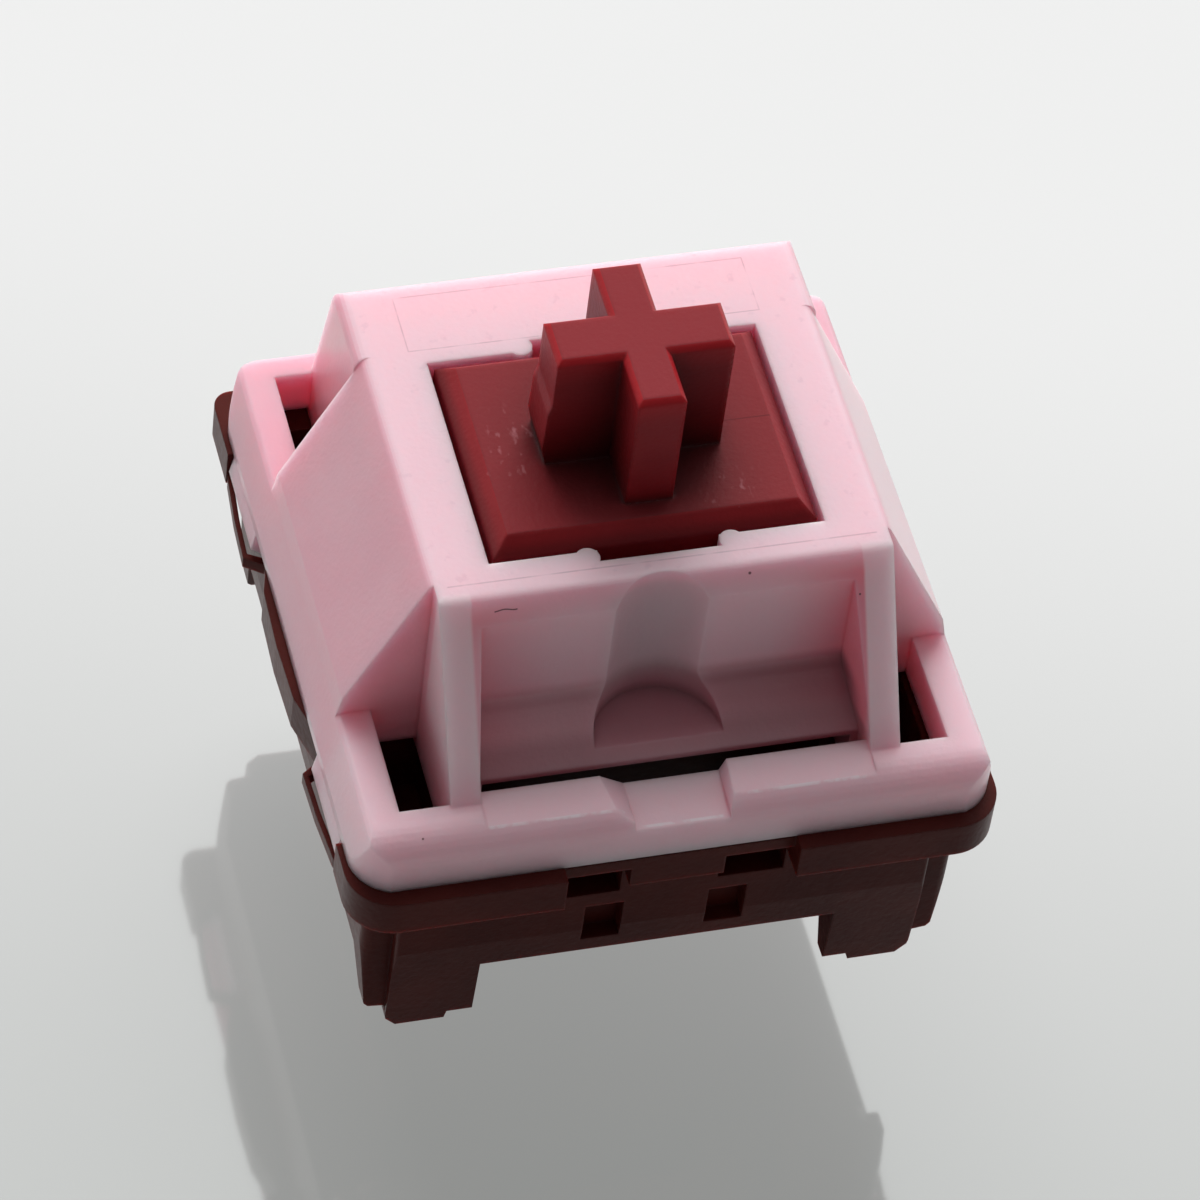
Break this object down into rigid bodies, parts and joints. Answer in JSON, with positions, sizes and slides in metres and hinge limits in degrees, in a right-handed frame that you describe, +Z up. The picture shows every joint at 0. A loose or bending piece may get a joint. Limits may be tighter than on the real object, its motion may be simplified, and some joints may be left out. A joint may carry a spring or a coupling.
{
  "type": "mechanical keyboard switch",
  "caption": "Plate-mount push switch for a keyboard: rectangular two-shell housing with plate clips, cross-shaped stem on a return spring, leaf contact and two solder pins.",
  "frame": {"origin": "on the centre post's axis, in the plane where the underside rests on the circuit board", "axes": "+Z up along the stem's travel axis, -Y to the side with the hollow and slot for a light, +X to the right seen from that side"},
  "size_m": [0.0154, 0.0156, 0.0185],
  "materials": {
    "top_plastic": "pale pink translucent moulded plastic, satin",
    "bottom_plastic": "dark red-brown moulded plastic, satin",
    "stem_plastic": "deep wine-red moulded plastic, satin",
    "spring_steel": "drawn spring wire",
    "contact_bronze": "stamped sheet",
    "contact_gold": "plated contact bar"
  },
  "bodies": {
    "housing": {"top_housing": "top_plastic", "bottom_housing": "bottom_plastic", "fixed_terminal": "contact_bronze", "fixed_crosspoint": "contact_gold", "leaf_terminal": "contact_bronze", "coil_spring": "spring_steel"},
    "stem": {"stem": "stem_plastic"},
    "leaf": {"contact_leaf": "contact_bronze", "leaf_crosspoint": "contact_gold"}
  },
  "joints": [
    {"name": "stem_travel", "type": "slide", "parent": "housing", "child": "stem", "axis": [0, 0, -1], "range_m": [0, 0.004], "stiffness_N_per_m": 75, "springref_m": -0.0045, "deforming": ["coil_spring"]},
    {"name": "leaf_flex", "type": "hinge", "parent": "housing", "child": "leaf", "pos_m": [0, 0.00444, 0.002], "axis": [1, 0, 0], "range_deg": [0, 3.51]}
  ],
  "couplings": [
    {"joint": "leaf_flex", "follows": "stem_travel", "rad_per_m": 15.287}
  ]
}
